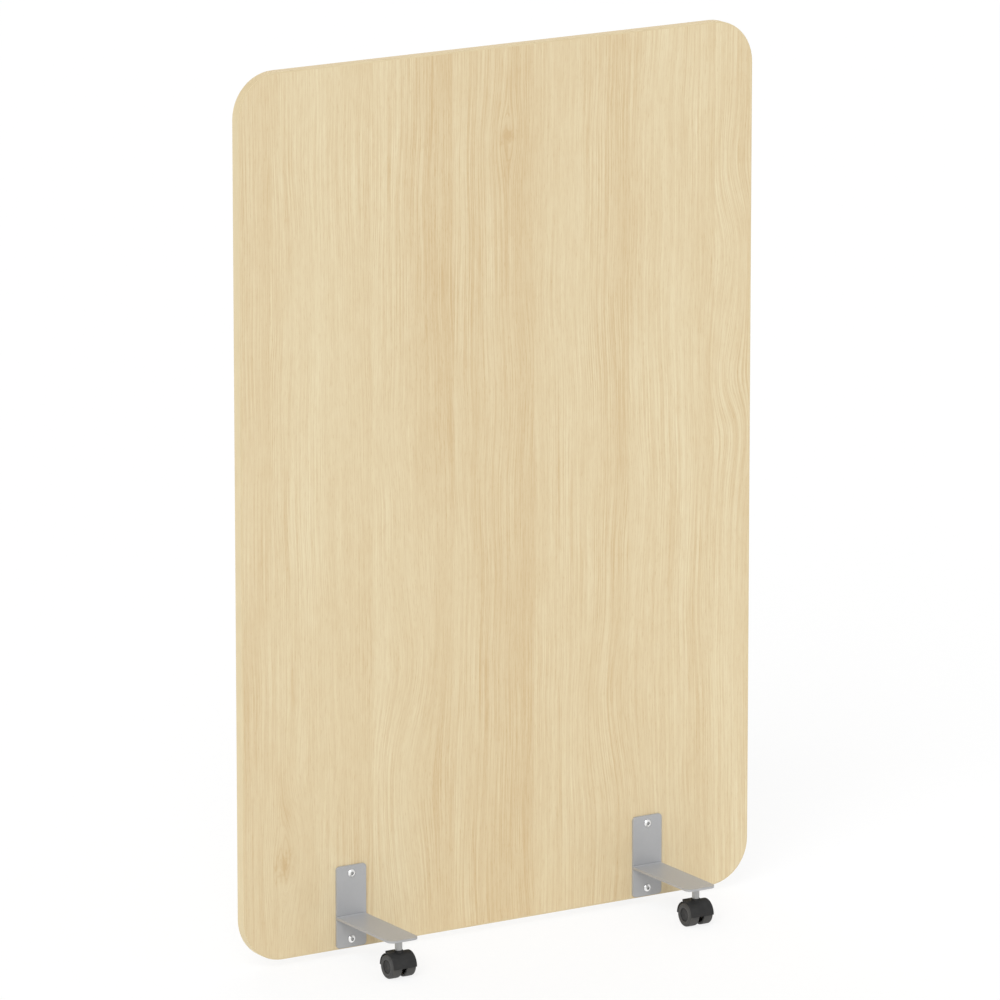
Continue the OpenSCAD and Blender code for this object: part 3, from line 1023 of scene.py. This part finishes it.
class Named(Enum):
    """A choice whose name is part of CAD nodes' names."""

    @property
    def word(self) -> str:
        """The name as those nodes spell it."""
        return self.name.lower()


class Corner(Named):
    """The four corners: sign along X, sign along Y."""

    FRONT_LEFT = (-1, -1)
    FRONT_RIGHT = (1, -1)
    REAR_LEFT = (-1, 1)
    REAR_RIGHT = (1, 1)


class Roller(Named):
    """The two wheels of a castor: the sign of their side away from the panel's middle."""

    INNER = -1
    OUTER = 1


@dataclass
class Panel:
    """The laminated board and the band glued round its edge."""

    face: Finish = LAMINATE
    edge: Finish = BAND

    def build(self) -> None:
        """Dresses the board and the band."""
        dress(["panel_board"], self.face)
        dress(["edge_band"], self.edge)


@dataclass
class Bracket:
    """A welded bracket: upright plate and level arm."""

    corner: Corner
    coat: Finish = COAT

    def build(self) -> None:
        """Dresses the plate and the arm."""
        dress([f"{self.corner.word}_plate", f"{self.corner.word}_arm"], self.coat)


@dataclass
class PanelBolt:
    """A through bolt with a button head and a hexagon socket, in its sleeve nut."""

    side: int
    upper: bool
    pitch_x: float = BRACKET_X
    seat_y: float = -11 * MM
    low_z: float = BOLT_LOW_Z
    rise: float = BOLT_RISE
    head_r: float = 5.25 * MM
    head_h: float = 3.0 * MM
    rim_h: float = 0.8 * MM
    shank_r: float = 3.0 * MM
    shank_length: float = 14.0 * MM
    socket_w: float = 4.0 * MM
    socket_depth: float = 1.9 * MM
    edge_r: float = 0.25 * MM
    rim_drop: float = 0.1 * MM
    bevel_h: float = 0.35 * MM
    cone_h: float = 0.35 * MM
    cone_share: float = 0.93
    point_h: float = 0.6 * MM
    dome_rings: int = 10
    sides: int = 96
    finish: Finish = BOLT_STEEL
    nut_finish: Finish = BRIGHT

    @property
    def word(self) -> str:
        """Bolt's name without its last word, as the CAD nodes spell it."""
        return f"{'right' if self.side > 0 else 'left'}_{'upper' if self.upper else 'lower'}"

    def grid(self) -> np.ndarray:
        """The bolt's rings, from the socket's floor over the head to the shank's end.

        Each ring has a height along the bolt and a radius. Over the head and the
        shank the radius is round, and the dome is an arc through the rim's top
        and the head's middle. In the socket it follows the hexagon: half the
        width across flats over the cosine of the angle from the nearest flat's
        middle.

        Returns:
            A grid of points in the object's frame.
        """
        angle = np.linspace(0.0, 2 * np.pi, self.sides, endpoint=False)
        flat = np.pi / 3
        hexagon = self.socket_w / 2 / np.cos((angle + flat / 2) % flat - flat / 2)
        floor_h = self.head_h - self.socket_depth
        dome_h = self.head_h - self.rim_h
        dome_r = (self.head_r**2 + dome_h**2) / (2 * dome_h)
        mouth_r = self.socket_w / math.sqrt(3) + self.edge_r
        rim_r = self.head_r - self.edge_r
        out = np.linspace(mouth_r, rim_r, self.dome_rings)
        dome = np.stack([self.head_h - dome_r + np.sqrt(dome_r**2 - out**2), out], axis=-1)
        mouth_h = dome[0, 0]
        socket = np.array([[floor_h - self.cone_h, 0.0], [floor_h, self.cone_share],
                           [floor_h, 1.0], [mouth_h - self.bevel_h, 1.0]])
        socket_rings = np.stack([np.repeat(socket[:, :1], self.sides, axis=1),
                                 socket[:, 1:] * hexagon[None, :]], axis=-1)
        rim = arc(self.rim_h - self.rim_drop, rim_r, self.edge_r, 60, 90, 4)
        end, shank_r = -self.shank_length, self.shank_r
        foot = np.array([[self.edge_r, self.head_r], [0.0, rim_r], [0.0, shank_r],
                         [end + self.point_h, shank_r], [end, shank_r - self.point_h], [end, 0.0]])
        rounds = np.concatenate([dome, rim, foot])
        round_rings = np.repeat(rounds[:, None, :], self.sides, axis=1)
        rings = np.concatenate([socket_rings, round_rings])
        x = self.side * self.pitch_x + rings[..., 1] * np.cos(angle)
        z = self.low_z + (self.rise if self.upper else 0.0) + rings[..., 1] * np.sin(angle)
        return np.stack([x, self.seat_y - rings[..., 0], z], axis=-1)

    def build(self) -> None:
        """Makes the bolt in place of its CAD node and dresses the sleeve nut."""
        node = f"{self.word}_bolt"
        piece = skin(f"{self.word}_button_bolt", self.grid())
        piece.data.materials.append(self.finish.material())
        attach(piece, "frame")
        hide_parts(node)
        LOG.info("made %s", piece.name)
        dress([f"{self.word}_sleeve_nut"], self.nut_finish)


@dataclass
class Wheel:
    """One castor wheel and its hub cap, turned about the axle."""

    corner: Corner
    roller: Roller
    stem_x: float = BRACKET_X
    axle_y: float = AXLE_Y
    axle_z: float = AXLE_Z
    radius: float = 16.5 * MM
    inner_x: float = 3.8 * MM
    outer_x: float = 18.3 * MM
    cap_r: float = 9.2 * MM
    cap_x: float = 16.3 * MM
    cap_t: float = 1.2 * MM
    bore_r: float = 2.55 * MM
    bore_end_x: float = 15.3 * MM
    hub_r: float = 4.6 * MM
    rim_in_r: float = 13.3 * MM
    disc_x: float = 13.3 * MM
    lead: float = 0.3 * MM
    hollow_fillet: float = 0.8 * MM
    inner_shoulder: float = 1.2 * MM
    outer_shoulder: float = 2.2 * MM
    crown_h: float = 0.12 * MM
    crown_half: float = 5.25 * MM
    line_off: float = 0.4 * MM
    line_w: float = 0.35 * MM
    line_h: float = 0.14 * MM
    lip_r: float = 0.4 * MM
    cap_gap: float = 0.05 * MM
    cap_groove: tuple[float, ...] = (0.93, 0.915, 0.885, 0.87)
    cap_groove_h: float = 0.22 * MM
    dish_share: float = 0.82
    dish_h: float = 0.32 * MM
    gate_share: float = 0.1
    gate_h: float = 0.22 * MM
    sides: int = 144
    finish: Finish = WHEEL_NYLON
    cap_finish: Finish = CAP_NYLON

    @property
    def word(self) -> str:
        """Wheel's name without its last word, as the CAD nodes spell it."""
        return f"{self.corner.word}_{self.roller.word}"

    def wheel_section(self) -> np.ndarray:
        """The wheel's half section, from the bore's blind end round to the cap's seat.

        Straight stretches joined by arcs: hub, hollow, rim, inner shoulder,
        tread, outer shoulder, a ringed face and the recess for the cap. The
        tread's crown is a parabola, and its parting line a bell-shaped groove.

        Returns:
            (along, out) pairs.
        """
        x0, x1, lead, fillet = self.inner_x, self.outer_x, self.lead, self.hollow_fillet
        flat_r = self.radius - self.crown_h
        bend_x = self.disc_x - fillet
        seat_r = self.cap_r + self.cap_gap
        middle = (x0 + x1) / 2 - self.line_off
        tread_x = np.linspace(x0 + self.inner_shoulder, x1 - self.outer_shoulder, 25)
        crown = self.crown_h * (1 - ((tread_x - middle) / self.crown_half) ** 2)
        line = self.line_h * np.exp(-(((tread_x - middle) / self.line_w) ** 2))
        tread = np.stack([tread_x, flat_r + np.clip(crown, 0, None) - line], axis=-1)
        # The ring on the face: depth, and distance in from the tread, in millimetres.
        face_ring = np.array([[0.0, 2.9], [0.0, 3.3], [0.3, 3.5], [0.3, 3.8], [0.0, 4.0]]) * MM
        parts = [
            [[self.bore_end_x, 0.0], [self.bore_end_x, self.bore_r], [x0 + lead, self.bore_r]],
            [[x0, self.bore_r + lead], [x0, self.hub_r - lead], [x0 + lead, self.hub_r]],
            arc(bend_x, self.hub_r + fillet, fillet, -90, 0, 5),
            arc(bend_x, self.rim_in_r - fillet, fillet, 0, 90, 5),
            [[x0 + lead, self.rim_in_r], [x0, self.rim_in_r + lead]],
            arc(x0 + self.inner_shoulder, flat_r - self.inner_shoulder, self.inner_shoulder,
                180, 100, 8),
            tread,
            arc(x1 - self.outer_shoulder, flat_r - self.outer_shoulder, self.outer_shoulder,
                85, 8, 10),
            np.array([x1, self.radius]) - face_ring,
            arc(x1 - self.lip_r, seat_r + self.lip_r, self.lip_r, 0, -90, 5),
            [[x1 - 2 * self.lip_r, seat_r], [self.cap_x, seat_r], [self.cap_x, 0.0]],
        ]
        return np.concatenate([np.asarray(part, dtype=float) for part in parts])

    def cap_section(self) -> np.ndarray:
        """The cap's half section: a chamfered rim, a ring groove, a shallow dish and a gate dimple.

        The dish's depth is dish_h times the square of 1 - u^2, where u is the
        distance out as a share of the dish's radius. The dimple is a bell curve.

        Returns:
            (along, out) pairs.
        """
        x0, x1, r = self.cap_x, self.cap_x + self.cap_t, self.cap_r
        out = np.linspace(self.dish_share, 0.0, 14)
        dish = self.dish_h * (1 - (out / self.dish_share) ** 2) ** 2
        dimple = self.gate_h * np.exp(-((out / self.gate_share) ** 2))
        groove_x = x1 - self.cap_groove_h * np.array([0.0, 1.0, 1.0, 0.0])
        return np.concatenate([
            [[x0, 0.0], [x0, r], [x1 - self.lead, r], [x1, r - self.lead]],
            np.stack([groove_x, np.array(self.cap_groove) * r], axis=-1),
            np.stack([x1 - dish - dimple, out * r], axis=-1),
        ])

    def placed(self, grid: np.ndarray) -> np.ndarray:
        """Carries a turned grid to this wheel's place, mirrored to its side.

        Args:
            grid: Points about the X axis, from the castor's middle outwards.

        Returns:
            The points in the object's frame.
        """
        sx, sy = self.corner.value
        scale = np.array([sx * self.roller.value, 1.0, 1.0])
        shift = np.array([sx * self.stem_x, sy * self.axle_y, self.axle_z])
        return grid * scale + shift

    def build(self) -> None:
        """Makes the wheel and its cap in place of their CAD nodes."""
        for section, node, piece_name, finish, slot in (
            (self.wheel_section(), "wheel", "moulded_wheel", self.finish, "nylon"),
            (self.cap_section(), "cap", "dished_cap", self.cap_finish, "cap"),
        ):
            piece = skin(f"{self.word}_{piece_name}", self.placed(turn(section, self.sides)))
            piece.data.materials.append(finish.material())
            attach(piece, f"{self.word}_roller")
            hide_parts(f"{self.word}_{node}")
            LOG.info("made %s", piece.name)


@dataclass
class Castor:
    """A twin-wheel castor: stem, ring, hood, axle and its two wheels."""

    corner: Corner
    metal: Finish = DRAWN
    hood: Finish = HOOD_NYLON

    def build(self) -> None:
        """Dresses the fixed and swivelling parts and builds both wheels."""
        word = self.corner.word
        dress([f"{word}_stem", f"{word}_ring", f"{word}_axle"], self.metal)
        dress([f"{word}_hood"], self.hood)
        for roller in Roller:
            Wheel(self.corner, roller).build()


# ---------- studio ----------


@dataclass(frozen=True)
class Lamp:
    """A broad sun: the angles it shines from, its strength, and the angle that it fills."""

    name: str
    azimuth: float
    elevation: float
    strength: float
    spread_deg: float


@dataclass
class Studio:
    """Pale floor, even light and the camera at the photograph's angle."""

    floor_radius: float = 60.0
    floor_rings: int = 9
    floor_sides: int = 64
    lamps: tuple[Lamp, ...] = (
        Lamp("key_light", -45.0, 42.0, 1.5, 35.0),
        Lamp("back_light", 150.0, 35.0, 0.7, 50.0),
    )
    sky: float = 0.745
    camera_azimuth: float = -32.00
    camera_elevation: float = 13.45
    camera_distance: float = 12.20
    camera_lens: float = 329.1
    camera_sensor: float = 36.0
    camera_clip: tuple[float, float] = (0.1, 400.0)
    target: tuple[float, float, float] = (0.0005, -0.008, 0.595)

    def floor(self) -> None:
        """Lays a round floor on z = 0, its rings spaced as the square of their number."""
        radius = self.floor_radius * np.linspace(0.0, 1.0, self.floor_rings) ** 2
        angle = np.linspace(0.0, 2 * np.pi, self.floor_sides, endpoint=False)
        grid = np.stack([radius[:, None] * np.cos(angle), radius[:, None] * np.sin(angle),
                         np.zeros((radius.size, angle.size))], axis=-1)
        piece = skin("studio_floor_disc", grid)
        if piece.data.polygons[0].normal.z < 0:
            piece.data.flip_normals()
        piece.data.materials.append(FLOOR.material())
        LOG.info("laid %s", piece.name)

    def light(self) -> None:
        """Sets the sky and the broad suns; directly seen and mirrored sky is plain white."""
        world = bpy.data.worlds.new("studio_sky")
        bpy.context.scene.world = world
        graph = Graph(world)
        strength = graph.spread(graph.seen(), 0.0, 1.0, self.sky, 1.0)
        sky = graph.wire(graph.add("ShaderNodeBackground", values={"Strength": strength}))
        graph.add("ShaderNodeOutputWorld", values={"Surface": sky})
        for lamp in self.lamps:
            data = bpy.data.lights.new(lamp.name, "SUN")
            data.energy = lamp.strength
            data.angle = math.radians(lamp.spread_deg)
            holder = bpy.data.objects.new(lamp.name, data)
            holder.rotation_mode = "QUATERNION"
            back = self.towards(lamp.azimuth, lamp.elevation)
            holder.rotation_quaternion = back.to_track_quat("Z", "Y")
            bpy.context.scene.collection.objects.link(holder)

    @staticmethod
    def towards(azimuth: float, elevation: float) -> Vector:
        """Unit vector from the object towards a viewer at these angles, in degrees."""
        a, e = math.radians(azimuth), math.radians(elevation)
        return Vector((math.sin(a) * math.cos(e), -math.cos(a) * math.cos(e), math.sin(e)))

    def camera(self) -> None:
        """Sets the camera and the plain view transform."""
        data = bpy.data.cameras.new("photograph_view")
        data.sensor_width = self.camera_sensor
        data.lens = self.camera_lens
        data.clip_start, data.clip_end = self.camera_clip
        holder = bpy.data.objects.new("photograph_view", data)
        back = self.towards(self.camera_azimuth, self.camera_elevation)
        holder.location = Vector(self.target) + back * self.camera_distance
        holder.rotation_mode = "QUATERNION"
        holder.rotation_quaternion = (-back).to_track_quat("-Z", "Y")
        bpy.context.scene.collection.objects.link(holder)
        bpy.context.scene.camera = holder
        bpy.context.scene.view_settings.view_transform = "Standard"

    def build(self) -> None:
        """Sets up floor, light and camera."""
        self.camera()
        self.floor()
        self.light()


def main() -> None:
    """Builds the studio and every sub-assembly, in order."""
    logging.basicConfig(level=logging.INFO, format="%(message)s")
    Studio().build()
    Panel().build()
    for corner in Corner:
        Bracket(corner).build()
        Castor(corner).build()
    for side in (-1, 1):
        for upper in (False, True):
            PanelBolt(side, upper).build()


if __name__ == "__main__":
    main()
